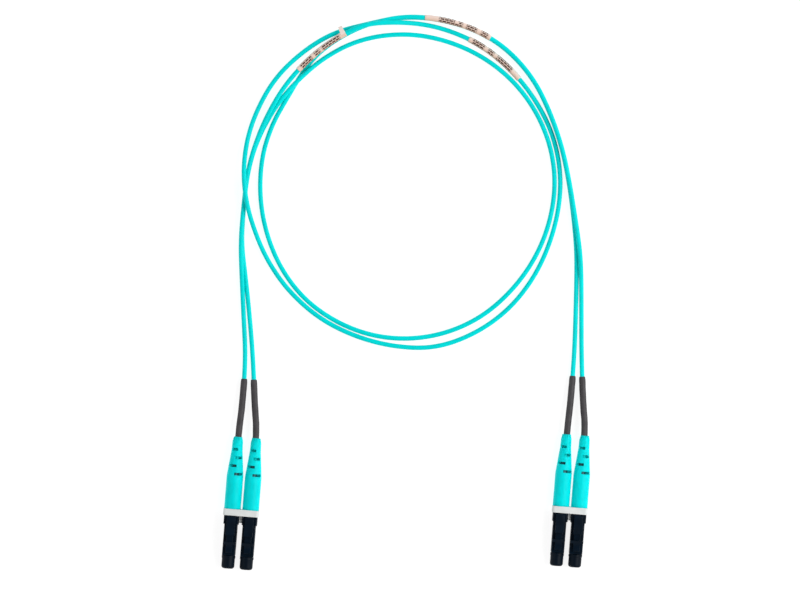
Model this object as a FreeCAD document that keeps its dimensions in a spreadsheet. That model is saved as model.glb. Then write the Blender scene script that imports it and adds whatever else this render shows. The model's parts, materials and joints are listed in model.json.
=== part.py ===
import FreeCAD, Part
import math
import os
import re

import Sketcher
from FreeCAD import Vector

# Duplex LC-to-LC fibre patch cord, laid flat in a loose loop of one and a half turns.
# Millimetres. +Z is up and z = 0 is the surface that the cord lies on. The plugs' noses
# point along -Y. The origin is on that surface, midway between the two duplex connectors.
# Each plug is drawn about its own axis, with y = 0 at the mouth of its boot.

SIZES = {
    # strand, and what is on it
    "strand_diameter": 1.6,
    "sleeve_diameter": 2.3,
    "sleeve_gap": 0.05,
    "sleeve_depth": 9.0,
    "label_diameter": 2.1,
    "label_gap": 0.02,
    # where the four plugs lie
    "plug_pitch": 6.25,
    "connector_spread": 112.0,
    "left_mouth_y": 17.95,
    "right_mouth_y": 27.85,
    # boot
    "boot_length": 24.7,
    "boot_mouth_diameter": 2.9,
    "boot_neck_diameter": 3.8,
    "boot_front_diameter": 5.7,
    "boot_lip": 1.5,
    "boot_neck_length": 4.5,
    "boot_full_from": 13.4,
    "boot_bore_gap": 0.1,
    "slot_first": 4.3,
    "slot_pitch": 2.8,
    "slot_width": 0.9,
    "slot_floor": 0.3,
    "slot_overlap": 0.3,
    "slot_wall": 0.35,
    # duplex clip
    "clip_length": 2.2,
    "clip_width": 12.2,
    "clip_height": 6.1,
    "clip_corner": 1.0,
    "clip_gap": 0.05,
    "web_length": 2.4,
    "web_height": 2.8,
    # housing
    "housing_width": 4.52,
    "housing_reach": 13.8,
    "housing_corner": 0.4,
    "housing_seat_gap": 0.05,
    "shoulder_width": 5.2,
    "shoulder_length": 3.0,
    "nose_bore": 3.2,
    "nose_depth": 6.0,
    "stop_wall": 1.0,
    "stop_bore": 1.6,
    "spring_room": 3.5,
    "flank_depth": 0.25,
    "flank_length": 6.5,
    "flank_height": 1.7,
    # latch arm and the trigger over it
    "root_diameter": 0.8,
    "root_gap": 0.05,
    "arm_thickness": 0.7,
    "latch_width": 2.3,
    "latch_length": 6.6,
    "latch_rise": 1.0,
    "latch_root": 1.4,
    "ear_width": 4.4,
    "ear_length": 1.0,
    "ear_place": 2.4,
    "ear_step": 0.35,
    "trigger_width": 3.0,
    "trigger_length": 6.0,
    "trigger_bend": 3.9,
    "trigger_bend_rise": 1.35,
    "trigger_rise": 1.8,
    "trigger_root": 0.7,
    # ferrule, its holder and spring
    "ferrule_diameter": 1.25,
    "ferrule_length": 10.5,
    "ferrule_reach": 2.0,
    "ferrule_chamfer": 0.15,
    "flange_diameter": 3.1,
    "flange_length": 2.2,
    "flange_gap": 0.05,
    "stem_diameter": 1.7,
    "stem_length": 4.2,
    "stem_overlap": 0.25,
    "fibre_hole": 0.6,
    "spring_wire": 0.3,
    "spring_mean_diameter": 2.4,
    "spring_turns": 4.0,
    "spring_gap": 0.02,
    # rear body and crimp
    "barrel_gap": 0.03,
    "barrel_bore": 2.0,
    "barrel_bore_depth": 4.5,
    "tail_diameter": 2.6,
    "tail_bore": 0.9,
    "crimp_gap": 0.03,
    "crimp_wall": 0.42,
    "crimp_front_gap": 1.2,
    "crimp_neck_length": 6.3,
    "crimp_neck_wall": 0.33,
    "crimp_start": 9.2,
    # dust cap
    "cap_diameter": 4.7,
    "cap_length": 4.5,
    "cap_stem_diameter": 3.0,
    "cap_stem_length": 4.4,
    "cap_bore_gap": 0.05,
    "cap_face_gap": 0.05,
    "cap_rounding": 0.9,
    "cap_rim_width": 0.9,
    "cap_rim_step": 0.12,
}

AXIS_HEIGHT = "clip_height / 2"
NOSE = "(boot_length + clip_length + housing_reach)"
LEFT_X = "-connector_spread / 2"
RIGHT_X = "connector_spread / 2"

# plug name: middle of its connector, side of that middle, mouth of its boot
PLUGS = {
    "left_a": (LEFT_X, "-", "left_mouth_y"),
    "left_b": (LEFT_X, "+", "left_mouth_y"),
    "right_a": (RIGHT_X, "-", "right_mouth_y"),
    "right_b": (RIGHT_X, "+", "right_mouth_y"),
}

LOOP_CENTRE = Vector(-8.7, 106.45, 0)

# The strands' routes, chosen by hand: x, y and height along each leg, and between the legs
# the angle in degrees, distance from the loop's centre and height of each point of the loop.
STRANDS = {
    "strand_1": {
        "first_leg": [
            (-59.125, 5.95, 3.05), (-59.125, 20.0, 3.05), (-58.6, 28.5, 2.6), (-58.8, 44.9, 1.0),
            (-60.65, 59, 0.8), (-62.25, 72, 1.9),
        ],
        "loop": [
            (202, 59.3, 2.6), (190, 55.8, 2.6), (178, 54.6, 2.6), (167, 54.0, 2.8),
            (155, 54.1, 3.2), (143, 55.0, 3.2), (131.5, 56.0, 2.9), (120.5, 57.3, 2.8),
            (109, 57.7, 2.6), (98, 57.3, 1.8), (88, 57.1, 1.2), (78, 56.6, 1.2),
            (67, 56.2, 1.2), (55, 55.3, 1.2), (42, 54.5, 0.9), (28, 54.2, 0.8),
            (14, 53.7, 0.8), (0, 53.1, 0.8), (-15, 52.7, 0.8), (-30, 53.2, 0.8),
            (-45, 54.0, 0.8), (-60, 54.5, 0.8), (-75, 54.9, 0.8), (-90, 53.6, 0.8),
            (-105, 52.9, 0.8), (-120, 52.9, 0.8), (-135, 52.9, 0.8), (-148, 53.1, 0.8),
            (-159, 53.5, 2.2), (-170, 54.6, 4.6), (-181, 55.9, 4.6), (-192, 57.1, 2.2),
            (-203, 58.1, 0.8), (-216, 59.3, 0.8), (-229, 59.5, 0.8), (-241, 59.4, 0.9),
            (-253, 59.4, 2.6), (-265, 59.8, 2.8), (-277, 60.1, 2.8), (-289, 60.3, 2.8),
            (-301, 59.8, 2.6), (-314, 58.3, 2.6), (-327, 56.3, 2.6), (-340, 55.6, 2.6),
            (-352, 56.1, 2.6), (-363, 58.3, 2.6), (-373, 62.4, 2.4),
        ],
        "last_leg": [
            (53.35, 84.5, 2.0), (54.55, 71, 1.2), (55.85, 55, 1.0), (57.65, 38.4, 2.6),
            (59.125, 29.9, 3.05), (59.125, 15.85, 3.05),
        ],
    },
    "strand_2": {
        "first_leg": [
            (-52.875, 5.95, 3.05), (-52.875, 20.0, 3.05), (-54.3, 28.5, 2.6), (-56.25, 44.9, 1.0),
            (-58.55, 59, 0.8), (-60.95, 72, 0.8),
        ],
        "loop": [
            (202, 59.1, 0.8), (190, 55.8, 0.8), (178, 54.6, 0.8), (167, 53.9, 0.8),
            (156, 53.3, 1.1), (146, 53.0, 2.4), (137, 52.9, 2.7), (127, 53.5, 1.2),
            (115, 54.1, 0.8), (103, 54.1, 0.8), (90, 53.9, 0.8), (76, 53.4, 0.8),
            (62, 53.1, 0.8), (48, 52.8, 0.8), (34, 52.4, 0.8), (20, 52.0, 0.8),
            (6, 51.4, 0.8), (-9, 50.6, 0.8), (-24, 50.1, 0.8), (-39, 50.0, 0.8),
            (-54, 50.5, 0.8), (-69, 50.8, 0.8), (-84, 51.0, 0.8), (-99, 51.1, 0.8),
            (-114, 51.0, 0.8), (-129, 51.0, 0.8), (-144, 50.5, 0.8), (-159, 50.1, 0.8),
            (-174, 50.2, 0.8), (-189, 50.8, 0.8), (-202, 51.2, 0.8), (-213, 51.6, 0.8),
            (-222, 53.3, 0.8), (-231, 55.7, 0.8), (-241, 57.3, 0.8), (-253, 58.5, 0.8),
            (-265, 59.4, 0.8), (-277, 60.1, 0.8), (-289, 60.3, 0.8), (-301, 59.8, 0.8),
            (-314, 58.3, 0.8), (-327, 56.3, 0.8), (-340, 55.6, 0.8), (-352, 56.0, 0.8),
            (-363, 57.9, 0.8), (-373, 61.3, 0.8),
        ],
        "last_leg": [
            (51.85, 84.5, 0.8), (52.65, 71, 0.8), (53.4, 55, 1.0), (53.3, 38.4, 2.6),
            (52.875, 29.9, 3.05), (52.875, 15.85, 3.05),
        ],
    },
}

# which strand end each tail sleeve is on, and the loop angle at which each label starts
SLEEVES = {
    "left_a": ("strand_1", "first"),
    "left_b": ("strand_2", "first"),
    "right_a": ("strand_2", "last"),
    "right_b": ("strand_1", "last"),
}
LABELS = {"label_1": 131.5, "label_2": -277, "label_3": 67}

RUN_SHARE = 0.45  # how much of the shorter run each bend takes
SLOTS = 4         # how many slots each face of a boot has
CUT_PAST = 1.0    # how far a cutting profile runs past the face it starts from
SAME = 1e-6       # how near two lengths are when they count as equal

doc = FreeCAD.newDocument("duplex_patch_cord")
sheet = doc.addObject("Spreadsheet::Sheet", "sizes")
for row, (word, number) in enumerate(SIZES.items(), 1):
    sheet.set(f"A{row}", word)
    sheet.set(f"B{row}", str(number))
    sheet.setAlias(f"B{row}", word)
doc.recompute()

nodes = []


def bound(text):
    """The expression with each size's name pointing at its cell."""
    return re.sub(r"[a-z]\w*", lambda m: "sizes." + m.group() if m.group() in SIZES else m.group(), text)


def worth(text):
    """What an expression of sizes comes to now."""
    return float(sheet.evalExpression(bound(text)))


def newBody(label, x, y, z=AXIS_HEIGHT):
    body = doc.addObject("PartDesign::Body", label)
    body.Label = label
    for side, text in (("x", x), ("y", y), ("z", z)):
        body.setExpression("Placement.Base." + side, bound(text))
    nodes.append(body)
    return body


def newSketch(body, plane, ahead="0"):
    """A sketch on one of the body's own planes; ahead moves it along the plane's normal."""
    sketch = body.newObject("Sketcher::SketchObject", body.Label + "_sketch")
    support = [part for part in body.Origin.OriginFeatures if part.Role == plane][0]
    sketch.AttachmentSupport = (support, [""])
    sketch.MapMode = "FlatFace"
    sketch.setExpression("AttachmentOffset.Base.z", bound(ahead))
    return sketch


def pin(sketch, kind, line, point, text):
    """Holds one coordinate of a point at an expression of sizes."""
    if text == "0":
        axis = -2 if kind == "DistanceX" else -1
        sketch.addConstraint(Sketcher.Constraint("PointOnObject", line, point, axis))
        return
    number = sketch.addConstraint(Sketcher.Constraint(kind, -1, 1, line, point, worth(text)))
    sketch.setExpression(f"Constraints[{number}]", bound(text))


def outline(sketch, corners):
    """A closed outline of straight lines through corners given as pairs of expressions."""
    spots = [Vector(worth(across), worth(up), 0) for across, up in corners]
    first = sketch.GeometryCount
    count = len(spots)
    for i in range(count):
        sketch.addGeometry(Part.LineSegment(spots[i], spots[(i + 1) % count]), False)
    for i in range(count):
        sketch.addConstraint(Sketcher.Constraint("Coincident", first + i, 2, first + (i + 1) % count, 1))
    for i, (across, up) in enumerate(corners):
        pin(sketch, "DistanceX", first + i, 1, across)
        pin(sketch, "DistanceY", first + i, 1, up)
    return sketch


def oblong(sketch, left, right, low, high):
    return outline(sketch, [(left, low), (right, low), (right, high), (left, high)])


def disc(sketch, diameter):
    """A circle about the sketch's origin."""
    circle = Part.Circle(Vector(0, 0, 0), Vector(0, 0, 1), worth(diameter) / 2)
    line = sketch.addGeometry(circle, False)
    sketch.addConstraint(Sketcher.Constraint("Coincident", line, 3, -1, 1))
    number = sketch.addConstraint(Sketcher.Constraint("Diameter", line, worth(diameter)))
    sketch.setExpression(f"Constraints[{number}]", bound(diameter))
    return sketch


def pad(body, sketch, length, both=False):
    feature = body.newObject("PartDesign::Pad", body.Label + "_pad")
    feature.Profile = sketch
    feature.setExpression("Length", bound(length))
    feature.Midplane = both
    return feature


def pocket(body, sketch, length, both=False):
    feature = body.newObject("PartDesign::Pocket", body.Label + "_pocket")
    feature.Profile = sketch
    feature.setExpression("Length", bound(length))
    feature.Midplane = both
    return feature


def turn(body, corners, kind="Revolution"):
    """A body of revolution about the plug's axis; corners are (radius, y) pairs."""
    sketch = outline(newSketch(body, "XY_Plane"), corners)
    feature = body.newObject("PartDesign::" + kind, body.Label + "_turned")
    feature.Profile = sketch
    feature.ReferenceAxis = (sketch, ["V_Axis"])
    feature.Angle = 360
    return feature


def ease(body, kind, size, test):
    """A fillet or chamfer on each edge of the body so far that passes the test."""
    doc.recompute()
    base = body.Tip
    names = [f"Edge{i}" for i, edge in enumerate(base.Shape.Edges, 1) if test(edge)]
    feature = body.newObject("PartDesign::" + kind, body.Label + "_" + kind.lower())
    feature.Base = (base, names)
    feature.setExpression("Radius" if kind == "Fillet" else "Size", bound(size))
    return feature


def runsAlongY(edge):
    span = edge.BoundBox
    return span.YLength > 0.1 and span.XLength < SAME and span.ZLength < SAME


def liesAt(edge, y):
    """True for an edge that lies in the plane at y."""
    return edge.BoundBox.YLength < SAME and abs(edge.BoundBox.YMin - y) < SAME


def plugX(plug):
    middle, side, _ = PLUGS[plug]
    return f"{middle} {side} plug_pitch / 2"


def plugBody(plug, piece):
    return newBody(f"{plug}_{piece}", plugX(plug), PLUGS[plug][2])


def makeBoot(plug):
    """Moulded strain-relief boot: slim and slotted at the cord, full width at the plug."""
    body = plugBody(plug, "boot")
    sleeve_bore = "sleeve_diameter / 2 + boot_bore_gap"
    crimp_bore = "tail_diameter / 2 + crimp_gap + crimp_wall + boot_bore_gap"
    crimp_room = "-(crimp_start + crimp_neck_length - boot_bore_gap)"
    turn(body, [
        (sleeve_bore, "0"),
        ("boot_mouth_diameter / 2", "0"),
        ("boot_neck_diameter / 2 - boot_bore_gap", "-boot_lip"),
        ("boot_neck_diameter / 2", "-boot_neck_length"),
        ("boot_front_diameter / 2", "-boot_full_from"),
        ("boot_front_diameter / 2", "-boot_length"),
        (crimp_bore, "-boot_length"),
        (crimp_bore, crimp_room),
        (sleeve_bore, crimp_room),
    ])
    taper = "(boot_front_diameter - boot_neck_diameter) / (2 * (boot_full_from - boot_neck_length))"
    for face in ("+", "-"):
        slots = newSketch(body, "XY_Plane", f"{face}slot_floor")
        for n in range(SLOTS):
            middle = f"(slot_first + {n} * slot_pitch)"
            reach = f"(boot_neck_diameter / 2 - slot_wall + ({middle} - boot_neck_length) * {taper})"
            on_left = (n % 2 == 0) == (face == "+")
            left, right = ("-" + reach, "slot_overlap") if on_left else ("-slot_overlap", reach)
            oblong(slots, left, right, f"-{middle} - slot_width / 2", f"-{middle} + slot_width / 2")
        cut = pocket(body, slots, "boot_front_diameter")
        cut.Reversed = face == "+"


def makeHousing(plug):
    """Plug housing: square nose, wider shoulder at the clip, stepped bore for the ferrule."""
    body = plugBody(plug, "housing")
    half = "housing_width / 2"
    start = "boot_length + housing_seat_gap"
    shell = oblong(newSketch(body, "XZ_Plane", start), "-" + half, half, "-" + half, half)
    pad(body, shell, "clip_length + housing_reach - housing_seat_gap")
    ease(body, "Fillet", "housing_corner", runsAlongY)
    ease(body, "Chamfer", "housing_corner / 2", lambda e: liesAt(e, -worth(NOSE)))
    wide = "shoulder_width / 2"
    shoulder = newSketch(body, "XZ_Plane", "boot_length + clip_length")
    oblong(shoulder, "-" + wide, wide, "-" + wide, wide)
    pad(body, shoulder, "shoulder_length")
    ease(body, "Fillet", "housing_corner", lambda e: runsAlongY(e)
         and abs(abs(e.BoundBox.XMin) - worth(wide)) < SAME)
    turn(body, [
        ("0", f"-{NOSE} - {CUT_PAST}"),
        ("nose_bore / 2", f"-{NOSE} - {CUT_PAST}"),
        ("nose_bore / 2", f"-{NOSE} + nose_depth"),
        ("stop_bore / 2", f"-{NOSE} + nose_depth"),
        ("stop_bore / 2", f"-{NOSE} + nose_depth + stop_wall"),
        ("spring_room / 2", f"-{NOSE} + nose_depth + stop_wall"),
        ("spring_room / 2", f"{CUT_PAST} - boot_length"),
        ("0", f"{CUT_PAST} - boot_length"),
    ], "Groove")
    flank_end = f"-({NOSE} - 2 * latch_root)"
    for side in ("-", ""):
        flank = newSketch(body, "YZ_Plane", f"{side}({half})")
        oblong(flank, flank_end, flank_end + " + flank_length", "-flank_height / 2", "flank_height / 2")
        pocket(body, flank, "2 * flank_depth", both=True)


def makeLatch(plug):
    """Latch arm, rooted at the nose and rising towards the boot, with an ear each side."""
    body = newBody(f"{plug}_latch", plugX(plug), f"{PLUGS[plug][2]} - {NOSE} + latch_root",
                   f"{AXIS_HEIGHT} + housing_width / 2 + root_diameter / 2 + root_gap")
    half = "arm_thickness / 2"
    arm = outline(newSketch(body, "YZ_Plane"), [
        ("0", "-" + half),
        ("latch_length", "latch_rise - " + half),
        ("latch_length", "latch_rise + " + half),
        ("0", half),
    ])
    pad(body, arm, "latch_width", both=True)
    pad(body, disc(newSketch(body, "YZ_Plane"), "root_diameter"), "latch_width", both=True)
    slope = "latch_rise / latch_length"
    ear_end = "(ear_place + ear_length)"
    ears = outline(newSketch(body, "YZ_Plane"), [
        ("ear_place", f"ear_place * {slope} - {half}"),
        (ear_end, f"{ear_end} * {slope} - {half}"),
        (ear_end, f"{ear_end} * {slope} + {half} + ear_step"),
        ("ear_place", f"ear_place * {slope} + {half}"),
    ])
    pad(body, ears, "ear_width", both=True)


def makeTrigger(plug):
    """Anti-snag trigger, rooted on the shoulder, with its tip over the latch's free end."""
    body = newBody(f"{plug}_trigger", plugX(plug),
                   f"{PLUGS[plug][2]} - boot_length - clip_length - trigger_root",
                   f"{AXIS_HEIGHT} + shoulder_width / 2 + root_diameter / 2 + root_gap")
    half = "arm_thickness / 2"
    arm = outline(newSketch(body, "YZ_Plane"), [
        ("0", "-" + half),
        ("-trigger_bend", "trigger_bend_rise - " + half),
        ("-trigger_length", "trigger_rise - " + half),
        ("-trigger_length", "trigger_rise + " + half),
        ("-trigger_bend", "trigger_bend_rise + " + half),
        ("0", half),
    ])
    pad(body, arm, "trigger_width", both=True)
    pad(body, disc(newSketch(body, "YZ_Plane"), "root_diameter"), "trigger_width", both=True)


def makeFerrule(plug):
    """Zirconia ferrule, pressed into its holder."""
    body = plugBody(plug, "ferrule")
    tip = f"-({NOSE} + ferrule_reach)"
    turn(body, [
        ("0", tip),
        ("ferrule_diameter / 2 - ferrule_chamfer", tip),
        ("ferrule_diameter / 2", f"{tip} + ferrule_chamfer"),
        ("ferrule_diameter / 2", f"{tip} + ferrule_length"),
        ("0", f"{tip} + ferrule_length"),
    ])


HOLDER_FRONT = f"-{NOSE} + nose_depth + stop_wall + flange_gap"
STEM_END = f"({HOLDER_FRONT} + flange_length + stem_length)"
BARREL_FRONT = f"({STEM_END} - stem_overlap)"


def makeHolder(plug):
    """Flanged holder behind the housing's stop wall; the spring pushes on its flange."""
    body = plugBody(plug, "ferrule_holder")
    turn(body, [
        ("ferrule_diameter / 2", HOLDER_FRONT),
        ("flange_diameter / 2", HOLDER_FRONT),
        ("flange_diameter / 2", f"{HOLDER_FRONT} + flange_length"),
        ("stem_diameter / 2", f"{HOLDER_FRONT} + flange_length"),
        ("stem_diameter / 2", STEM_END),
        ("fibre_hole / 2", STEM_END),
        ("fibre_hole / 2", f"-({NOSE} + ferrule_reach) + ferrule_length"),
        ("ferrule_diameter / 2", f"-({NOSE} + ferrule_reach) + ferrule_length"),
    ])


def makeSpring(plug):
    """Square-wire compression spring round the stem, from the holder's flange to the rear body."""
    body = plugBody(plug, "spring")
    start = f"({BARREL_FRONT} - spring_wire / 2 - spring_gap)"
    coil = oblong(newSketch(body, "XY_Plane"),
                  "spring_mean_diameter / 2 - spring_wire / 2", "spring_mean_diameter / 2 + spring_wire / 2",
                  f"{start} - spring_wire / 2", f"{start} + spring_wire / 2")
    feature = body.newObject("PartDesign::AdditiveHelix", body.Label + "_coil")
    feature.Profile = coil
    feature.ReferenceAxis = (coil, ["V_Axis"])
    feature.Mode = "height-turns-angle"
    room = f"{start} - ({HOLDER_FRONT} + flange_length + spring_wire / 2 + spring_gap)"
    feature.setExpression("Height", bound(room))
    feature.setExpression("Turns", bound("spring_turns"))
    feature.Reversed = True


CRIMP_SHOULDER = "-(crimp_start + crimp_neck_length + crimp_wall)"


def makeRearBody(plug):
    """Rear body: a barrel that closes the housing, and the tail that the crimp grips."""
    body = plugBody(plug, "rear_body")
    turn(body, [
        ("barrel_bore / 2", BARREL_FRONT),
        ("spring_room / 2 - barrel_gap", BARREL_FRONT),
        ("spring_room / 2 - barrel_gap", "-boot_length"),
        ("tail_diameter / 2", "-boot_length"),
        ("tail_diameter / 2", CRIMP_SHOULDER + " - crimp_gap"),
        ("tail_bore / 2", CRIMP_SHOULDER + " - crimp_gap"),
        ("tail_bore / 2", f"{BARREL_FRONT} + barrel_bore_depth"),
        ("barrel_bore / 2", f"{BARREL_FRONT} + barrel_bore_depth"),
    ])


def makeCrimpRing(plug):
    """Stepped crimp ring: its wide end is crimped on the tail, its neck on the strand."""
    body = plugBody(plug, "crimp_ring")
    neck_end = "-(crimp_start + crimp_neck_length)"
    neck = "strand_diameter / 2 + label_gap"
    wide = "tail_diameter / 2 + crimp_gap"
    turn(body, [
        (neck, "-crimp_start"),
        (f"{neck} + crimp_neck_wall", "-crimp_start"),
        (f"{neck} + crimp_neck_wall", neck_end),
        (f"{wide} + crimp_wall", neck_end),
        (f"{wide} + crimp_wall", "crimp_front_gap - boot_length"),
        (wide, "crimp_front_gap - boot_length"),
        (wide, CRIMP_SHOULDER),
        (neck, CRIMP_SHOULDER),
    ])


def makeDustCap(plug):
    """Dust cap: a stem that enters the nose, a blind bore for the ferrule, a rounded grip."""
    body = plugBody(plug, "dust_cap")
    face = f"-({NOSE} + cap_face_gap)"
    front = f"-({NOSE} + cap_length)"
    bore = "ferrule_diameter / 2 + cap_bore_gap"
    bore_end = f"-({NOSE} + ferrule_reach + 8 * cap_bore_gap)"
    turn(body, [
        ("0", front),
        ("cap_diameter / 2 - cap_rim_step", front),
        ("cap_diameter / 2 - cap_rim_step", f"{face} - cap_rim_width"),
        ("cap_diameter / 2", f"{face} - cap_rim_width"),
        ("cap_diameter / 2", face),
        ("cap_stem_diameter / 2", face),
        ("cap_stem_diameter / 2", f"cap_stem_length - {NOSE}"),
        (bore, f"cap_stem_length - {NOSE}"),
        (bore, bore_end),
        ("0", bore_end),
    ])
    ease(body, "Fillet", "cap_rounding", lambda e: liesAt(e, worth(front)))


def makeClip(label, middle, mouth):
    """Duplex clip: one band with a window for each housing and a web between the shoulders."""
    body = newBody(label, middle, f"{mouth} - boot_length", "0")
    band = newSketch(body, "XZ_Plane")
    oblong(band, "-clip_width / 2", "clip_width / 2", "0", "clip_height")
    pad(body, band, "clip_length")
    ease(body, "Fillet", "clip_corner", runsAlongY)
    half = "(housing_width / 2 + clip_gap)"
    windows = newSketch(body, "XZ_Plane", "clip_length")
    for side in ("-", ""):
        centre = f"{side}plug_pitch / 2"
        oblong(windows, f"{centre} - {half}", f"{centre} + {half}",
               f"{AXIS_HEIGHT} - {half}", f"{AXIS_HEIGHT} + {half}")
    pocket(body, windows, "2 * clip_length")
    web = "((plug_pitch - shoulder_width) / 2 - clip_gap)"
    between = newSketch(body, "XZ_Plane", "clip_length")
    oblong(between, f"-{web}", web, f"{AXIS_HEIGHT} - web_height / 2", f"{AXIS_HEIGHT} + web_height / 2")
    pad(body, between, "web_length")


def routePoints(strand):
    """The route's points: first leg, loop, last leg."""
    points = [Vector(*spot) for spot in strand["first_leg"]]
    for angle, distance, height in strand["loop"]:
        around = math.radians(angle)
        points.append(LOOP_CENTRE + Vector(distance * math.cos(around), distance * math.sin(around), height))
    points += [Vector(*spot) for spot in strand["last_leg"]]
    return points


def routeEdges(points, label=None):
    """Straight runs joined by tangent arcs, in order: run, arc, run ... run."""
    edges, radii = [], []
    at = points[0]
    for before, corner, after in zip(points, points[1:], points[2:]):
        back, on = before - corner, after - corner
        setback = RUN_SHARE * min(back.Length, on.Length)
        half_turn = (math.pi - back.getAngle(on)) / 2
        radius = setback / math.tan(half_turn)
        radii.append(radius)
        back.normalize()
        on.normalize()
        start, end = corner + back * setback, corner + on * setback
        inward = (back + on).normalize()
        middle = corner + inward * (radius / math.cos(half_turn) - radius)
        edges.append(Part.LineSegment(at, start).toShape())
        edges.append(Part.Arc(start, middle, end).toShape())
        at = end
    edges.append(Part.LineSegment(at, points[-1]).toShape())
    if label:
        print(f"{label}: {len(points)} points, bend radii {min(radii):.1f} to {max(radii):.1f} mm, "
              f"length {sum(edge.Length for edge in edges):.1f} mm")
    return edges


def tube(edges, radius, bore=0.0):
    """A round tube, hollow where it has a bore, along the edges."""
    first = edges[0]
    start, along = first.valueAt(first.FirstParameter), first.tangentAt(first.FirstParameter)
    path = Part.Wire(edges)
    shape = path.makePipeShell([Part.Wire(Part.makeCircle(radius, start, along))], True, False)
    if bore:
        shape = shape.cut(path.makePipeShell([Part.Wire(Part.makeCircle(bore, start, along))], True, False))
    solid = shape.Solids[0]
    section = math.pi * (radius ** 2 - bore ** 2)
    if abs(solid.Volume / (section * path.Length) - 1) > 0.01:
        raise SystemExit("a tube's volume does not match its section and length")
    return solid


def newFeature(label, shape):
    feature = doc.addObject("Part::Feature", label)
    feature.Label = label
    feature.Shape = shape
    feature.Placement = FreeCAD.Placement()
    nodes.append(feature)


def makeStrands():
    strand_radius = worth("strand_diameter / 2")
    for label, strand in STRANDS.items():
        newFeature(label, tube(routeEdges(routePoints(strand), label), strand_radius))


def makeLabels():
    """Wrap-round labels, each along two bends of the first strand."""
    strand = STRANDS["strand_1"]
    edges = routeEdges(routePoints(strand))
    angles = [stop[0] for stop in strand["loop"]]
    for label, angle in LABELS.items():
        bend = len(strand["first_leg"]) + angles.index(angle)
        span = edges[2 * bend - 1:2 * bend + 2]
        newFeature(label, tube(span, worth("label_diameter / 2"), worth("strand_diameter / 2 + label_gap")))


def makeSleeve(plug):
    """Shrink sleeve on the strand, from inside the boot to the end of the third run."""
    name, end = SLEEVES[plug]
    points = routePoints(STRANDS[name])
    if end == "last":
        points.reverse()
    edges = routeEdges(points)[:5]
    bend_start = edges[0].valueAt(edges[0].LastParameter)
    inside = Vector(bend_start.x, worth(f"{PLUGS[plug][2]} - sleeve_depth"), bend_start.z)
    edges[0] = Part.LineSegment(inside, bend_start).toShape()
    newFeature(f"{plug}_tail_sleeve",
               tube(edges, worth("sleeve_diameter / 2"), worth("strand_diameter / 2 + sleeve_gap")))


for plug in PLUGS:
    makeHousing(plug)
    makeLatch(plug)
    makeTrigger(plug)
    makeFerrule(plug)
    makeHolder(plug)
    makeSpring(plug)
    makeRearBody(plug)
    makeCrimpRing(plug)
    makeBoot(plug)
    makeDustCap(plug)
    makeSleeve(plug)
makeClip("left_clip", LEFT_X, "left_mouth_y")
makeClip("right_clip", RIGHT_X, "right_mouth_y")
makeStrands()
makeLabels()
doc.recompute()

for item in doc.Objects:
    if {"Invalid", "Error"} & set(item.State):
        raise SystemExit(f"{item.Label} did not compute")
for node in nodes:
    if node.Shape.isNull() or not node.Shape.isValid() or not node.Shape.Solids:
        raise SystemExit(f"{node.Label} has no valid solid")

os.makedirs("parts", exist_ok=True)
for node in nodes:
    node.Shape.exportStep(f"parts/{node.Label}.step")
print(f"{len(nodes)} parts written")
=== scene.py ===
import json
import math

import bmesh
import bpy
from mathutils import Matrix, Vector, noise

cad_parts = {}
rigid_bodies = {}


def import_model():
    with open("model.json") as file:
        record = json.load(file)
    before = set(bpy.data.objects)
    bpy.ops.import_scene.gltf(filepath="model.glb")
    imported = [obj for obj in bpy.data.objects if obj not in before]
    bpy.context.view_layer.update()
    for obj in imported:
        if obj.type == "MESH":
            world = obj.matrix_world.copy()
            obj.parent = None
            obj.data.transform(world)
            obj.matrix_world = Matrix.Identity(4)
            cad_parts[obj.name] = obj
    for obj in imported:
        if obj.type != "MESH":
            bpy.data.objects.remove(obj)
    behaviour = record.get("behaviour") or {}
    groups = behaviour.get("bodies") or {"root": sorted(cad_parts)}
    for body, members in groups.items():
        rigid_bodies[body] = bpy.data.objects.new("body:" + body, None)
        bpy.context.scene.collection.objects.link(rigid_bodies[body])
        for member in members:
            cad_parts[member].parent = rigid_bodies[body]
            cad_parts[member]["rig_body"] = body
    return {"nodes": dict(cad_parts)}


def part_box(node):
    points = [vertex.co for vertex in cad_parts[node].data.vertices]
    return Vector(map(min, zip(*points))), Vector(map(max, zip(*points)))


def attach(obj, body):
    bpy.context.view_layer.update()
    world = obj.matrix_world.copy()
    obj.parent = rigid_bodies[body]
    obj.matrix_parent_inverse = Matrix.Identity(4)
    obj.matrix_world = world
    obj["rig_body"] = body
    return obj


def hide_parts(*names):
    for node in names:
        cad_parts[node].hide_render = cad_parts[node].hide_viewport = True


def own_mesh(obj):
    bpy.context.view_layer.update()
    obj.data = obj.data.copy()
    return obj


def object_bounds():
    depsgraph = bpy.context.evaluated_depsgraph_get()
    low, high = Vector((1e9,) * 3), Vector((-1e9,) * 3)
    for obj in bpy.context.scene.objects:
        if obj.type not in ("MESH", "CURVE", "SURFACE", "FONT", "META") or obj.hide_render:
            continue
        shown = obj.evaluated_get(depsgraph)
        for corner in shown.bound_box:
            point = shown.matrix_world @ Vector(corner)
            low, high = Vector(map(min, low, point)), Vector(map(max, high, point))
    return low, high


# Duplex LC fibre patch cord: aqua strands in a loose loop, black plugs and caps, white clips.
# The solids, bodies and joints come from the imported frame, and this makes how each of them
# looks. Places are in metres; sizes in the dictionaries are in mm unless they say otherwise.

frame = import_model()
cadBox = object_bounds()
mm = 0.001

cameraView = {
    "lens": 180, "nearest": 10,
    "viewWidth": 0.2744,      # m, what the view spans at the floor
    "turn": 4.6,              # degrees, how far the cord lies turned in the view
    "offset": (-6.05, -0.9),  # the view's centre from the middle of the cord's box
}


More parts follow.
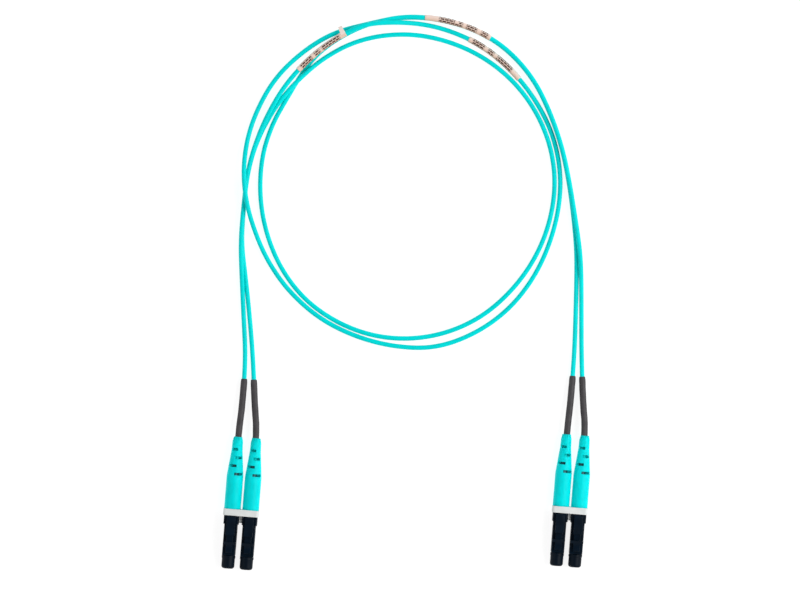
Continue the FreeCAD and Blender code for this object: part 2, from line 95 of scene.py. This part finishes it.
# The camera looks straight down at the cord.
def makeCamera(values):
    low, high = cadBox
    data = bpy.data.cameras.new("camera")
    data.lens = values["lens"]
    data.clip_start = values["nearest"] * mm
    camera = bpy.data.objects.new("camera", data)
    bpy.context.scene.collection.objects.link(camera)
    distance = values["viewWidth"] * values["lens"] / data.sensor_width
    camera.location = (
        (low[0] + high[0]) / 2 + values["offset"][0] * mm,
        (low[1] + high[1]) / 2 + values["offset"][1] * mm,
        distance,
    )
    camera.rotation_euler = (0, 0, math.radians(values["turn"]))
    bpy.context.scene.camera = camera


# An sRGB hex colour in linear light.
def linear(hexColour):
    channels = [int(hexColour[i:i + 2], 16) / 255 for i in (1, 3, 5)]
    curved = [c / 12.92 if c < 0.04045 else ((c + 0.055) / 1.055) ** 2.4 for c in channels]
    return (*curved, 1.0)


# Adds a node. A setting is one of the node's own properties or else the value of a socket.
def addNode(tree, kind, settings=(), links=()):
    node = tree.nodes.new(kind)
    for key, value in dict(settings).items():
        if isinstance(key, str) and hasattr(node, key):
            setattr(node, key, value)
        else:
            node.inputs[key].default_value = value
    for key, source in dict(links).items():
        tree.links.new(source, node.inputs[key])
    return node


def newMaterial(name, shader):
    material = bpy.data.materials.new(name)
    material.use_nodes = True
    tree = material.node_tree
    tree.nodes.clear()
    surface = addNode(tree, "ShaderNodeBsdfPrincipled", shader)
    output = addNode(tree, "ShaderNodeOutputMaterial")
    tree.links.new(surface.outputs["BSDF"], output.inputs["Surface"])
    return material, tree, surface


studioValues = {
    "floor": "#8C8C8C",
    "floorGlow": 0.86,        # keeps the floor white close to the plugs
    "floorSize": 3.0,         # m
    "sky": 0.66,
    "zenith": 0.05,           # a dark patch overhead keeps the level faces free of glare
    "zenithEdge": (0.78, 0.92),  # how high the sky starts and ends darkening, 1 straight up
    "lights": (               # name, place from the cord's middle in m, size in m, watts
        ("key", (0.85, 0.15, 0.95), 0.8, 12.0),
        ("fill", (-0.9, -0.2, 1.0), 1.4, 2.0),
    ),
}


# A sheet of plain matt paper, two soft round lamps and a grey sky.
def makeStudio(values):
    low, high = cadBox
    middle = Vector(((low[0] + high[0]) / 2, (low[1] + high[1]) / 2, 0))
    half = values["floorSize"] / 2
    mesh = bpy.data.meshes.new("floor")
    around = ((-half, -half), (half, -half), (half, half), (-half, half))
    corners = [middle + Vector((x, y, 0)) for x, y in around]
    mesh.from_pydata(corners, [], [(0, 1, 2, 3)])
    floor = bpy.data.objects.new("floor", mesh)
    bpy.context.scene.collection.objects.link(floor)
    paper, _, _ = newMaterial("floor paper", {
        "Base Color": linear(values["floor"]), "Roughness": 0.9, "Specular IOR Level": 0.0,
        "Emission Color": (1, 1, 1, 1), "Emission Strength": values["floorGlow"]})
    mesh.materials.append(paper)
    for name, place, size, power in values["lights"]:
        light = bpy.data.lights.new(name, "AREA")
        light.shape = "DISK"
        light.size = size
        light.energy = power
        lamp = bpy.data.objects.new(name, light)
        lamp.location = middle + Vector(place)
        lamp.rotation_euler = (-Vector(place)).to_track_quat("-Z", "Y").to_euler()
        bpy.context.scene.collection.objects.link(lamp)
    world = bpy.data.worlds.new("studio")
    bpy.context.scene.world = world
    world.use_nodes = True
    tree = world.node_tree
    toward = addNode(tree, "ShaderNodeTexCoord")
    height = addNode(tree, "ShaderNodeSeparateXYZ", links={"Vector": toward.outputs["Generated"]})
    sky = addNode(tree, "ShaderNodeValToRGB", links={"Fac": height.outputs["Z"]})
    greys = (values["sky"], values["zenith"])
    for stop, place, grey in zip(sky.color_ramp.elements, values["zenithEdge"], greys):
        stop.position = place
        stop.color = (grey, grey, grey, 1)
    tree.links.new(sky.outputs["Color"], tree.nodes["Background"].inputs["Color"])
    bpy.context.scene.view_settings.view_transform = "Standard"


# Moulded and extruded plastics: a colour that drifts a little through the piece, and the fine
# grain of the mould or die, which breaks up the highlights. The real grain is about 0.03 mm,
# and is drawn three to six times as coarse so that it shows. glow is how much light passes
# through thin walls, and matters only where the plastic is translucent.
def plastic(name, values):
    material, tree, surface = newMaterial(name, {
        "Roughness": values["roughness"], "IOR": values["ior"],
        "Specular IOR Level": values["gloss"], "Subsurface Weight": values["glow"],
        "Subsurface Radius": (0.1, 1, 1),  # aqua light goes ten times as deep as red
        "Subsurface Scale": 1.6 * mm})
    place = addNode(tree, "ShaderNodeTexCoord")
    drift = addNode(tree, "ShaderNodeTexNoise", {
        "Scale": 1 / (values["drift"] * mm), "Detail": 3.0}, {"Vector": place.outputs["Object"]})
    colour = addNode(tree, "ShaderNodeValToRGB", links={"Fac": drift.outputs["Fac"]})
    # the middle of the noise, where most of it lies, goes from one colour to the other
    for stop, at, shade in zip(colour.color_ramp.elements, (0.3, 0.7), ("dark", "light")):
        stop.position = at
        stop.color = linear(values[shade])
    tree.links.new(colour.outputs["Color"], surface.inputs["Base Color"])
    grain = addNode(tree, "ShaderNodeTexNoise", {
        "Scale": 1 / (values["grain"] * mm), "Detail": 2.0}, {"Vector": place.outputs["Object"]})
    bump = addNode(tree, "ShaderNodeBump", {
        "Strength": values["relief"], "Distance": 0.02 * mm}, {"Height": grain.outputs["Fac"]})
    tree.links.new(bump.outputs["Normal"], surface.inputs["Normal"])
    return material


# Turned, drawn and ground surfaces: fine marks across the axis, and a finish that is a little
# duller in patches of about 0.6 mm. A real tool's feed is about 0.05 mm, and the marks are drawn
# two to six times as coarse so that they show.
def machined(name, values):
    material, tree, surface = newMaterial(name, {
        "Base Color": linear(values["colour"]), "Metallic": values["metallic"]})
    if "ior" in values:  # the metals keep the shader's own
        surface.inputs["IOR"].default_value = values["ior"]
    place = addNode(tree, "ShaderNodeTexCoord")
    marks = addNode(tree, "ShaderNodeTexWave", {
        "wave_type": "BANDS", "bands_direction": "Y",
        "Scale": 0.31 / (values["marks"] * mm),  # a band is 0.31 long at a scale of 1
        "Distortion": 1.5, "Detail": 2.0}, {"Vector": place.outputs["Object"]})
    bump = addNode(tree, "ShaderNodeBump", {
        "Strength": values["relief"], "Distance": 0.01 * mm}, {"Height": marks.outputs["Fac"]})
    tree.links.new(bump.outputs["Normal"], surface.inputs["Normal"])
    patches = addNode(tree, "ShaderNodeTexNoise", {
        "Scale": 1 / (0.6 * mm)}, {"Vector": place.outputs["Object"]})
    dulling = addNode(tree, "ShaderNodeMapRange", {
        "To Min": values["roughness"] - 0.05, "To Max": values["roughness"] + 0.08},
        {"Value": patches.outputs["Fac"]})
    tree.links.new(dulling.outputs["Result"], surface.inputs["Roughness"])
    return material


# Printed vinyl, with a soft sheen: rows of short ink bars, grouped as words and some left out,
# on white film with painted shade: it is peach from the underside round one side, and white on
# the other. The film's length and girth are its UVs, both from 0 to 1.
def printedFilm(name, values, its, length):
    material, tree, surface = newMaterial(name, {
        "Roughness": 0.4, "IOR": 1.5, "Specular IOR Level": 0.2})
    place = addNode(tree, "ShaderNodeTexCoord")
    across = addNode(tree, "ShaderNodeSeparateXYZ", links={"Vector": place.outputs["UV"]})
    film = addNode(tree, "ShaderNodeValToRGB", links={"Fac": across.outputs["Y"]})
    # painted shade: the film's colour goes from peach at the underside to white, round its girth
    for stop, at, shade in zip(film.color_ramp.elements, values["shadeToWhite"], ("peachShade", "white")):
        stop.position = at
        stop.color = linear(values[shade])
    girth = math.pi * values["diameter"]
    barsAlong = length / values["barLength"]
    rowsRound = girth / values["barPitch"]
    stretch = addNode(tree, "ShaderNodeMapping", {
        "Scale": (barsAlong / 2, rowsRound / 4, 1)}, {"Vector": place.outputs["UV"]})
    bars = addNode(tree, "ShaderNodeTexBrick", {
        "Color1": linear(values["ink"]), "Color2": linear(values["fadedInk"]),
        "Mortar": (1, 1, 1, 1), "Mortar Size": 0.035, "Scale": 1.0,
        "Brick Width": 0.5, "Row Height": 0.25}, {"Vector": stretch.outputs["Vector"]})
    gaps = addNode(tree, "ShaderNodeTexNoise", {
        "Scale": 1 / (values["barLength"] * 1.6 * mm), "Detail": 1.0},
        {"Vector": place.outputs["Object"]})
    inked = addNode(tree, "ShaderNodeMapRange", {
        "From Min": values["inkCover"], "From Max": values["inkCover"] + 0.06},
        {"Value": gaps.outputs["Fac"]})
    # ink lies where both of these ramps are white
    words = addNode(tree, "ShaderNodeValToRGB", links={"Fac": across.outputs["X"]})
    rows = addNode(tree, "ShaderNodeValToRGB", links={"Fac": across.outputs["Y"]})
    fade = values["inkFade"]
    for ramp, spans in ((words.color_ramp, its["words"]), (rows.color_ramp, (its["inkSide"],))):
        ramp.elements[0].color = ramp.elements[1].color = (0, 0, 0, 1)
        for start, end in spans:
            for at, shade in ((start, 0), (start + fade, 1), (end - fade, 1), (end, 0)):
                ramp.elements.new(at).color = (shade, shade, shade, 1)
    printed = addNode(tree, "ShaderNodeMath", {"operation": "MULTIPLY"},
                      {0: words.outputs["Color"], 1: rows.outputs["Color"]})
    where = addNode(tree, "ShaderNodeMath", {"operation": "MULTIPLY"},
                    {0: inked.outputs["Result"], 1: printed.outputs["Value"]})
    # sockets 6 and 7 of this node are its two colours, and output 2 their mix
    ink = addNode(tree, "ShaderNodeMix", {"data_type": "RGBA", "blend_type": "MULTIPLY"},
                  {0: where.outputs["Value"], 6: film.outputs["Color"], 7: bars.outputs["Color"]})
    tree.links.new(ink.outputs[2], surface.inputs["Base Color"])
    return material


strandValues = {
    "diameter": 1.6,
    "steps": 10,              # straight pieces between two points of the route
    "smoothness": 8,          # of the jacket's round section
}
loopCentre = Vector((-0.0087, 0.10645, 0))

# x, y and height along each leg, and between the legs the angle in degrees, the distance from
# the loop's centre and the height of each point of the loop, all in metres.
# length is the strand's own, from plug to plug.
routes = {
    "strand_1": {
        "length": 0.717,
        "firstLeg": [
            (-.059125, .00595, .00305), (-.059125, .0200, .00305), (-.0586, .0285, .0026),
            (-.0588, .0449, .0010), (-.06065, .0590, .0008), (-.06225, .0720, .0019),
        ],
        "loop": [
            (202, .0593, .0026), (190, .0558, .0026), (178, .0546, .0026), (167, .0540, .0028),
            (155, .0541, .0032), (143, .0550, .0032), (131.5, .0560, .0030), (120.5, .0573, .0034),
            (109, .0588, .0047), (98, .0578, .0041), (88, .0575, .0016), (78, .0569, .0012),
            (67, .0563, .0012), (55, .0553, .0012), (42, .0545, .0009), (28, .0542, .0008),
            (14, .0537, .0008), (0, .0531, .0008), (-15, .0527, .0008), (-30, .0532, .0008),
            (-45, .0540, .0008), (-60, .0545, .0008), (-75, .0549, .0008), (-90, .0536, .0008),
            (-105, .0529, .0008), (-120, .0529, .0008), (-135, .0529, .0008), (-148, .0531, .0008),
            (-159, .0535, .0022), (-170, .0546, .0046), (-181, .0559, .0046), (-192, .0571, .0022),
            (-203, .0581, .0008), (-216, .0593, .0008), (-229, .0595, .0008), (-241, .0597, .0012),
            (-253, .0586, .0030), (-265, .0599, .0028), (-277, .0601, .0028), (-289, .0603, .0028),
            (-301, .0598, .0026), (-314, .0583, .0026), (-327, .0563, .0026), (-340, .0556, .0026),
            (-352, .0561, .0026), (-363, .0583, .0026), (-373, .0624, .0024),
        ],
        "lastLeg": [
            (.05335, .0845, .0020), (.05455, .0710, .0012), (.05585, .0550, .0010),
            (.05765, .0384, .0026), (.059125, .0299, .00305), (.059125, .01585, .00305),
        ],
    },
    "strand_2": {
        "length": 0.694,
        "firstLeg": [
            (-.052875, .00595, .00305), (-.052875, .0200, .00305), (-.0543, .0285, .0026),
            (-.05625, .0449, .0010), (-.05855, .0590, .0008), (-.06095, .0720, .0008),
        ],
        "loop": [
            (202, .0591, .0008), (190, .0558, .0008), (178, .0546, .0008), (167, .0539, .0008),
            (156, .0533, .0011), (146, .0530, .0024), (137, .0529, .0027), (127, .0535, .0012),
            (115, .0541, .0008), (103, .0541, .0008), (90, .0539, .0008), (76, .0534, .0008),
            (62, .0531, .0008), (48, .0528, .0008), (34, .0524, .0008), (20, .0520, .0008),
            (6, .0514, .0008), (-9, .0506, .0008), (-24, .0501, .0008), (-39, .0500, .0008),
            (-54, .0505, .0008), (-69, .0508, .0008), (-84, .0510, .0008), (-99, .0511, .0008),
            (-114, .0510, .0008), (-129, .0510, .0008), (-144, .0505, .0008), (-159, .0501, .0008),
            (-174, .0502, .0008), (-189, .0508, .0008), (-202, .0512, .0008), (-213, .0516, .0008),
            (-222, .0533, .0008), (-231, .0557, .0008), (-241, .0573, .0008), (-253, .0589, .0008),
            (-265, .0598, .0008), (-277, .0601, .0008), (-289, .0603, .0008), (-301, .0598, .0008),
            (-314, .0583, .0008), (-327, .0563, .0008), (-340, .0556, .0008), (-352, .0560, .0008),
            (-363, .0579, .0008), (-373, .0613, .0008),
        ],
        "lastLeg": [
            (.05185, .0845, .0008), (.05265, .0710, .0008), (.0534, .0550, .0010),
            (.0533, .0384, .0026), (.052875, .0299, .00305), (.052875, .01585, .00305),
        ],
    },
}


def routePoints(route):
    points = [Vector(spot) for spot in route["firstLeg"]]
    for angle, distance, height in route["loop"]:
        around = math.radians(angle)
        spot = Vector((distance * math.cos(around), distance * math.sin(around), height))
        points.append(loopCentre + spot)
    return points + [Vector(spot) for spot in route["lastLeg"]]


# A strand's jacket, and the line through its middle that the labels and sleeves follow.
def makeStrand(name, values):
    curve = bpy.data.curves.new(name + "_jacket", "CURVE")
    curve.dimensions = "3D"
    curve.resolution_u = values["steps"]
    spline = curve.splines.new("NURBS")
    points = routePoints(routes[name])
    spline.points.add(len(points) - 1)
    for point, spot in zip(spline.points, points):
        point.co = (*spot, 1)
        point.radius = values["diameter"] / 2 * mm
    spline.order_u = 3
    spline.use_endpoint_u = True
    strand = bpy.data.objects.new(name + "_jacket", curve)
    bpy.context.scene.collection.objects.link(strand)
    line = bpy.data.meshes.new_from_object(strand)
    path = [vertex.co.copy() for vertex in line.vertices]
    bpy.data.meshes.remove(line)
    curve.bevel_depth = 1.0
    curve.bevel_resolution = values["smoothness"]
    curve.use_fill_caps = True
    curve.materials.append(strandJacket)
    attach(strand, "cord_set")
    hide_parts(name)
    return strand, path


# How far along the path each of its points lies.
def distancesAlong(path):
    run = [0.0]
    for one, two in zip(path, path[1:]):
        run.append(run[-1] + (two - one).length)
    return run


def nearestAlong(path, run, spot):
    return run[min(range(len(path)), key=lambda i: (path[i] - spot).length)]


# The point at a distance along the path, with the directions to its side and upwards.
def stationAt(path, run, distance):
    i = max(1, next((i for i, gone in enumerate(run) if gone >= distance), len(run) - 1))
    share = (distance - run[i - 1]) / (run[i] - run[i - 1])
    before, after = path[max(0, i - 2)], path[min(len(path) - 1, i + 1)]
    along = (after - before).normalized()
    side = along.cross(Vector((0, 0, 1))).normalized()
    return path[i - 1].lerp(path[i], share), side, side.cross(along)


# A tube round the path from one distance to another. outer gives its radius in mm, from the mm
# gone and left along it and the angle round it, which starts at the underside.
def makeWrap(name, path, run, span, outer, values, tab=None):
    form = bmesh.new()
    uv = form.loops.layers.uv.new("wrap")
    start, end = span
    length = (end - start) / mm
    edge = values["edgeRound"]
    sides = values["sides"]
    rims = (0, edge * 0.3, edge)  # rows close together where the ends are rounded
    between = [length * i / values["rows"] for i in range(1, values["rows"])]
    rows = sorted({*rims, *between, *(length - rim for rim in rims)})
    skins = {"outer": [], "inner": []}
    for gone in rows:
        middle, side, up = stationAt(path, run, start + gone * mm)
        rounding = 1 - math.sqrt(max(0.0, 1 - (1 - min(gone, length - gone, edge) / edge) ** 2))
        for skin, rings in skins.items():
            ring = []
            for n in range(sides):
                angle = 2 * math.pi * n / sides
                radius = values["bore"] / 2
                if skin == "outer":
                    radius = outer(gone, length - gone, angle) - rounding * edge
                out = -math.cos(angle) * up + math.sin(angle) * side
                ring.append(form.verts.new(middle + out * radius * mm))
            rings.append(ring)

    def face(corners, spots):
        made = form.faces.new(corners)
        made.smooth = True
        for loop, spot in zip(made.loops, spots):
            loop[uv].uv = spot

    for skin, rings in skins.items():
        for i in range(len(rows) - 1):
            for n in range(sides):
                corners = [(i, n), (i, n + 1), (i + 1, n + 1), (i + 1, n)]
                if skin == "inner":
                    corners.reverse()
                face([rings[r][c % sides] for r, c in corners],
                     [(rows[r] / length, c / sides) for r, c in corners])
    for row, order in ((0, 1), (len(rows) - 1, -1)):
        for n in range(sides):
            corners = [("inner", n), ("inner", n + 1), ("outer", n + 1), ("outer", n)][::order]
            face([skins[skin][row][c % sides] for skin, c in corners],
                 [(rows[row] / length, c / sides) for skin, c in corners])
    if tab:
        edges = []
        for i in range(tab["steps"] + 1):
            out = i / tab["steps"]
            edges.append([])
            for back in (0, tab["width"] * (1 - tab["narrowing"] * out)):
                middle, side, up = stationAt(path, run, end - back * mm)
                spot = middle - side * (tab["root"] + tab["reach"] * out) * mm
                for lift in (0, values["film"]):
                    height = tab["rise"] - tab["drop"] * out ** 2 - lift
                    edges[-1].append(form.verts.new(spot + up * height * mm))
        bare = [tab["bareFilm"]] * 4
        for one, two in zip(edges, edges[1:]):
            for a, b in ((0, 2), (2, 3), (3, 1), (1, 0)):
                face([one[a], one[b], two[b], two[a]], bare)
        face([edges[-1][n] for n in (0, 2, 3, 1)], bare)
    form.normal_update()
    mesh = bpy.data.meshes.new(name)
    form.to_mesh(mesh)
    form.free()
    mesh.set_sharp_from_angle(angle=math.radians(values["sharpAbove"]))
    piece = bpy.data.objects.new(name, mesh)
    bpy.context.scene.collection.objects.link(piece)
    return piece


labelValues = {
    "diameter": 2.1, "film": 0.1, "bore": 1.62, "edgeRound": 0.05,
    "rows": 60, "sides": 40, "sharpAbove": 50,  # degrees
    # the peach colour is painted shade on the film's one side, and fades to white between the two
    # shares that follow it
    "white": "#EFDFD8", "peachShade": "#DBB59D",
    "shadeToWhite": (0.30, 0.74),  # shares of the girth, from the underside
    "ink": "#4A3E3A", "fadedInk": "#6E605B",
    "inkCover": 0.30,         # lower prints more of the bars
    "inkFade": 0.03,          # how softly a word starts and ends, as a share
    "barLength": 1.5, "barPitch": 0.8,
    "overhang": 0.45,         # how far it reaches past two points of the loop, as a share
    # the loop angle where each label starts, its words as shares of its length, and the shares
    # of its girth where the ink starts and ends
    "pieces": {
        "label_1": {"stop": 131.5, "words": ((0.06, 0.33), (0.36, 0.50), (0.52, 0.90)),
                    "inkSide": (0.1, 0.66)},
        "label_2": {"stop": -277, "words": ((0.19, 0.57), (0.60, 0.79), (0.83, 0.97)),
                    "inkSide": (0.1, 0.84)},
        "label_3": {"stop": 67, "words": ((0.05, 0.29), (0.33, 0.47), (0.50, 0.84)),
                    "inkSide": (0.1, 0.76)},
    },
    # the corner of film that stands out at the far end of the first label; bareFilm is a place
    # without ink, as shares of its length and girth
    "tab": {"label": "label_1", "width": 1.7, "narrowing": 0.25, "reach": 2.9, "root": 0.1,
            "rise": 1.0, "drop": 0.5, "steps": 8, "bareFilm": (0.98, 0.7)},
}


# A label's film goes once round the strand and overlaps itself at the underside.
def makeLabel(name, route, path, run, values):
    its = values["pieces"][name]
    points = routePoints(route)
    bend = len(route["firstLeg"]) + [stop[0] for stop in route["loop"]].index(its["stop"])
    reach = values["overhang"] * (points[bend + 1] - points[bend]).length
    start = nearestAlong(path, run, points[bend]) - reach
    end = nearestAlong(path, run, points[bend + 1]) + reach

    def outer(gone, left, angle):
        return values["diameter"] / 2 - values["film"] * (1 - angle / (2 * math.pi))

    tab = values["tab"] if values["tab"]["label"] == name else None
    label = makeWrap(name + "_film", path, run, (start, end), outer, values, tab)
    label.data.materials.append(
        printedFilm("vinyl label, printed", values, its, (end - start) / mm))
    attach(label, "cord_set")
    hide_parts(name)
    return label


sleeveValues = {
    "diameter": 2.3, "bore": 1.66, "edgeRound": 0.12,
    "rows": 90, "sides": 36, "sharpAbove": 50,  # degrees
    "tucked": 3.4,            # how much of it is inside the boot
    "shrunkEnd": 1.6, "shrink": 0.14,  # the last stretch, and how much its radius closes in
    "ripple": 0.035, "calmEnd": 2,     # the waves, and where they die away
    "wavesAlong": 0.45, "wavesRound": 0.6,  # how many to a mm, and how they differ round it
    "besidePlug": 5,          # the strand runs at most this far to the side of its plug
}


# A tail sleeve, from just inside its boot to where the solid ends: shrunk down over its last
# millimetres, with the slight waves that the heat leaves.
def makeSleeve(plug, path, run, values):
    node = plug + "_tail_sleeve"
    low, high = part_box(node)
    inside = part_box(plug + "_boot")[1][1] - values["tucked"] * mm
    plugX = (low[0] + high[0]) / 2
    covered = sorted(gone for spot, gone in zip(path, run)
                     if inside <= spot.y <= high[1]
                     and abs(spot.x - plugX) < values["besidePlug"] * mm)
    span = (covered[0], covered[-1])
    startsHere = span[0] < run[-1] / 2  # the sleeve at the strand's first plug

    def outer(gone, left, angle):
        free = left if startsHere else gone
        shrunk = values["shrink"] * max(0.0, 1 - free / values["shrunkEnd"]) ** 2
        around = values["wavesRound"]
        wave = noise.noise(Vector((
            gone * values["wavesAlong"], math.cos(angle) * around, math.sin(angle) * around)))
        ripple = values["ripple"] * (wave - 0.5) * min(1.0, free / values["calmEnd"])
        return values["diameter"] / 2 - shrunk + ripple

    sleeve = makeWrap(node + "_film", path, run, span, outer, values)
    sleeve.data.materials.append(sleeveFilm)
    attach(sleeve, "cord_set")
    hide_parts(node)
    return sleeve


makeCamera(cameraView)
makeStudio(studioValues)
print("camera and studio ready")

# Aqua PVC, satin from the die; the boots are a softer, slightly translucent moulding of the
# same colour. Both are saturated plastics with hardly any white glare.
strandJacket = plastic("PVC jacket, extruded", {
    "dark": "#00D2D0", "light": "#00DEDC", "roughness": 0.4, "ior": 1.5, "gloss": 0.05,
    "drift": 6, "grain": 0.2, "relief": 0.1, "glow": 0.0})
bootPlastic = plastic("TPE boot, moulded", {
    "dark": "#00D6D8", "light": "#00E0E2", "roughness": 0.45, "ior": 1.5, "gloss": 0.05,
    "drift": 4, "grain": 0.1, "relief": 0.1, "glow": 0.8})
# Blue-black PBT and PE, the caps a little duller than the housings.
housingPlastic = plastic("PBT housing, moulded", {
    "dark": "#000C18", "light": "#011221", "roughness": 0.36, "ior": 1.55, "gloss": 0.1,
    "drift": 3, "grain": 0.1, "relief": 0.15, "glow": 0.0})
capPlastic = plastic("PE cap, moulded", {
    "dark": "#000A16", "light": "#01101D", "roughness": 0.48, "ior": 1.5, "gloss": 0.1,
    "drift": 3, "grain": 0.1, "relief": 0.15, "glow": 0.0})
# White ABS, satin, a touch of grey in the shade.
clipPlastic = plastic("ABS clip, moulded", {
    "dark": "#D2D6D5", "light": "#E0E3E2", "roughness": 0.4, "ior": 1.5, "gloss": 0.3,
    "drift": 4, "grain": 0.1, "relief": 0.1, "glow": 0.0})
# Shrink film, dull and warm black.
sleeveFilm = plastic("polyolefin sleeve, heat-shrunk", {
    "dark": "#3D3B3D", "light": "#484648", "roughness": 0.55, "ior": 1.5, "gloss": 0.2,
    "drift": 2, "grain": 0.2, "relief": 0.2, "glow": 0.0})
# Ground zirconia is a milky white with a hard polish; nickel plate is a warm grey mirror with
# turning marks; the ring is dull blackened aluminium, its colour tinted with a painted aqua
# reflection of the boot round it, and the spring is bright drawn wire.
innerFinishes = {
    "ferrule": machined("zirconia, ground and polished", {
        "colour": "#F2EFE6", "metallic": 0.0, "roughness": 0.14, "ior": 2.1,
        "marks": 0.1, "relief": 0.05}),
    "ferrule_holder": machined("nickel-plated brass, turned", {
        "colour": "#C9C3B4", "metallic": 1.0, "roughness": 0.26, "marks": 0.12, "relief": 0.3}),
    "rear_body": machined("nickel-plated brass, turned and knurled", {
        "colour": "#BDB8AC", "metallic": 1.0, "roughness": 0.32, "marks": 0.15, "relief": 0.3}),
    # painted reflection: the ring's dark grey is tinted aqua for the boot that it would mirror
    "crimp_ring": machined("aluminium ring, blackened and crimped", {
        "colour": "#3B6265", "metallic": 0.8, "roughness": 0.5, "marks": 0.3, "relief": 0.3}),
    "spring": machined("stainless wire, drawn", {
        "colour": "#B9BBBC", "metallic": 1.0, "roughness": 0.22, "marks": 0.2, "relief": 0.1}),
}
for node, thing in frame["nodes"].items():
    for kind, material in innerFinishes.items():
        if node.endswith("_" + kind):
            thing.data.materials.clear()
            thing.data.materials.append(material)
print("finishes mixed")

springValues = {
    "wire": 0.3, "meanDiameter": 2.4, "coils": 5.5,
    "closedCoils": 0.75,      # at each end
    "travel": 1.0,            # how far the ferrule pushes it in
    "steps": 36, "sides": 10,  # in each coil, and round the wire
}


# A compression spring of round wire, its end coils closed.
def makeSpring(plug, values):
    node = plug + "_spring"
    low, high = (Vector(corner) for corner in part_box(node))
    middle = (low + high) / 2
    wire = values["wire"] * mm
    closed = values["closedCoils"]
    sides = values["sides"]
    lastOpen = values["coils"] - closed
    pitch = (high.y - low.y - wire * (1 + 2 * closed)) / (lastOpen - closed)
    turns = [2 * math.pi * side / sides for side in range(sides)]
    form = bmesh.new()
    rings = []
    for step in range(int(values["coils"] * values["steps"]) + 1):
        coil = step / values["steps"]
        rise = wire * (0.5 + min(coil, closed) + max(0, coil - lastOpen))
        rise += pitch * (min(coil, lastOpen) - min(coil, closed))
        outward = Vector((math.cos(2 * math.pi * coil), 0, math.sin(2 * math.pi * coil)))
        centre = Vector((middle.x, low.y + rise, middle.z))
        centre += outward * values["meanDiameter"] / 2 * mm
        rings.append([])
        for turn in turns:
            out = outward * math.cos(turn) + Vector((0, 1, 0)) * math.sin(turn)
            rings[-1].append(form.verts.new(centre + out * wire / 2))
    for one, two in zip(rings, rings[1:]):
        for i in range(sides):
            j = (i + 1) % sides
            form.faces.new((one[i], one[j], two[j], two[i]))
    form.faces.new(rings[0])
    form.faces.new(reversed(rings[-1]))
    bmesh.ops.recalc_face_normals(form, faces=form.faces)
    mesh = bpy.data.meshes.new(node + "_coil")
    form.to_mesh(mesh)
    form.free()
    for face in mesh.polygons:
        face.use_smooth = True
    mesh.materials.append(innerFinishes["spring"])
    spring = bpy.data.objects.new(node + "_coil", mesh)
    bpy.context.scene.collection.objects.link(spring)
    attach(spring, "cord_set")
    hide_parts(node)
    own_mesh(spring)


# what is at the two ends of each strand, and which labels are on it
strandPieces = {
    "strand_1": ("left_a", "right_b", ("label_1", "label_2", "label_3")),
    "strand_2": ("left_b", "right_a", ()),
}
for name, (start, end, labels) in strandPieces.items():
    strand, path = makeStrand(name, strandValues)
    run = distancesAlong(path)
    onIt = [makeLabel(label, routes[name], path, run, labelValues) for label in labels]
    onIt += [makeSleeve(plug, path, run, sleeveValues) for plug in (start, end)]
print("strands, labels and sleeves laid")

for node in sorted(frame["nodes"]):
    if node.endswith("_spring"):
        makeSpring(node.removesuffix("_spring"), springValues)
print("springs wound")

edgeValues = {
    "weld": 0.001,            # corners this close are one
    "flat": 0.5, "roundAbove": 28, "sharpAbove": 40,  # degrees between two faces
    "segments": 3,
}
mouldings = {                 # material, slot, and the radius that the mould leaves on edges
    "housing": (housingPlastic, "housing_plastic", 0.10),
    "latch": (housingPlastic, "housing_plastic", 0.08),
    "trigger": (housingPlastic, "housing_plastic", 0.10),
    "boot": (bootPlastic, "boot_plastic", 0.12),
    "dust_cap": (capPlastic, "cap_plastic", 0.10),
    "clip": (clipPlastic, "clip_plastic", 0.16),
}


# A moulded piece: its solid's own form, with rounded edges.
def makeMoulding(node, material, edge, values):
    solid = frame["nodes"][node]
    form = bmesh.new()
    form.from_mesh(solid.data)
    bmesh.ops.remove_doubles(form, verts=form.verts, dist=values["weld"] * mm)
    bmesh.ops.dissolve_limit(
        form, angle_limit=math.radians(values["flat"]), verts=form.verts, edges=form.edges)
    mesh = bpy.data.meshes.new(node + "_moulding")
    form.to_mesh(mesh)
    form.free()
    piece = bpy.data.objects.new(node + "_moulding", mesh)
    bpy.context.scene.collection.objects.link(piece)
    bevel = piece.modifiers.new("rounded edges", "BEVEL")
    bevel.width = edge * mm
    bevel.segments = values["segments"]
    bevel.limit_method = "ANGLE"
    bevel.angle_limit = math.radians(values["roundAbove"])
    bevel.use_clamp_overlap = True
    mesh.materials.append(material)
    for face in mesh.polygons:
        face.use_smooth = True
    mesh.set_sharp_from_angle(angle=math.radians(values["sharpAbove"]))
    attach(piece, solid["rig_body"])
    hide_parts(node)


for node in sorted(frame["nodes"]):
    for kind, (material, slotName, edge) in mouldings.items():
        if node.endswith("_" + kind):
            makeMoulding(node, material, edge, edgeValues)
print("plugs moulded")
